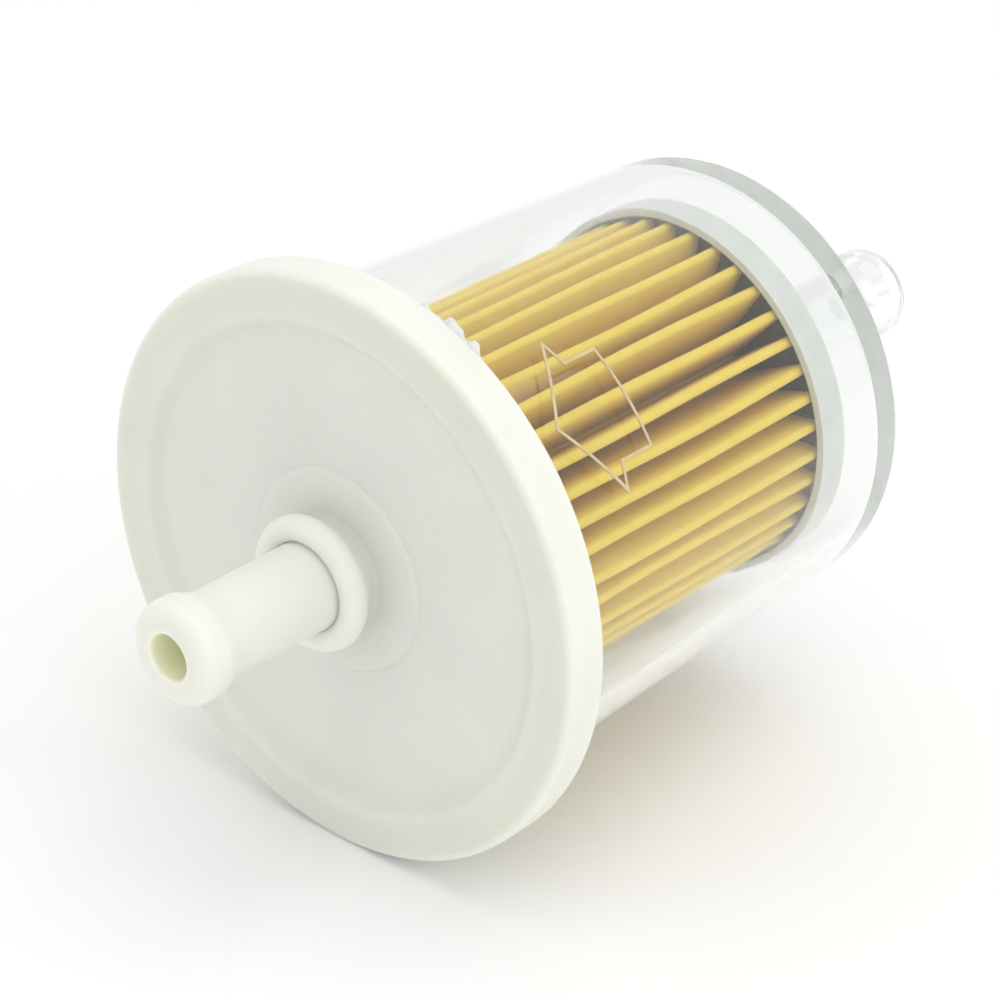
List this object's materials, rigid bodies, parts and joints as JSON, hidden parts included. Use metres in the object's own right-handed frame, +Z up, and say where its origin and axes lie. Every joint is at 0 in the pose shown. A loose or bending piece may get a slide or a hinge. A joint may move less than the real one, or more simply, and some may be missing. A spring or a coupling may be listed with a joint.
{
  "type": "in-line fuel filter",
  "caption": "Disposable in-line fuel filter: clear tapered bowl welded to a white flanged cap, pleated paper element inside, a barbed hose nipple at each end.",
  "frame": {"origin": "on the filter's axis, in the plane of the outlet cap's front rim", "axes": "+X along the axis from the white outlet nipple to the clear inlet nipple, against the fuel's flow; +Z up; the flow arrow is on the upper -Y side"},
  "size_m": [0.0864, 0.0476, 0.0476],
  "materials": {
    "white_plastic": "moulded, satin, slightly translucent off-white",
    "clear_plastic": "clear moulded plastic with a faint grey-green tint",
    "weld_plastic": "squeezed-out weld bead, milky",
    "disc_plastic": "moulded, satin white",
    "cup_plastic": "moulded, pale grey-green",
    "core_plastic": "moulded, natural white",
    "filter_paper": "resin-treated yellow-ochre filter paper",
    "white_resin": "cast resin, milky white",
    "dark_resin": "cast resin, dark grey",
    "seam_glue": "hot-melt glue, pale amber",
    "print_ink": "pale pad-printed ink"
  },
  "bodies": {
    "root": {"outlet_cap": "white_plastic", "inlet_bowl": "clear_plastic", "weld_flash": "weld_plastic", "open_end_disc": "disc_plastic", "closed_end_cup": "cup_plastic", "core_tube": "core_plastic", "pleated_paper": "filter_paper", "open_end_potting": "white_resin", "closed_end_potting": "dark_resin", "side_seam": "seam_glue", "flow_arrow": "print_ink"}
  },
  "joints": []
}
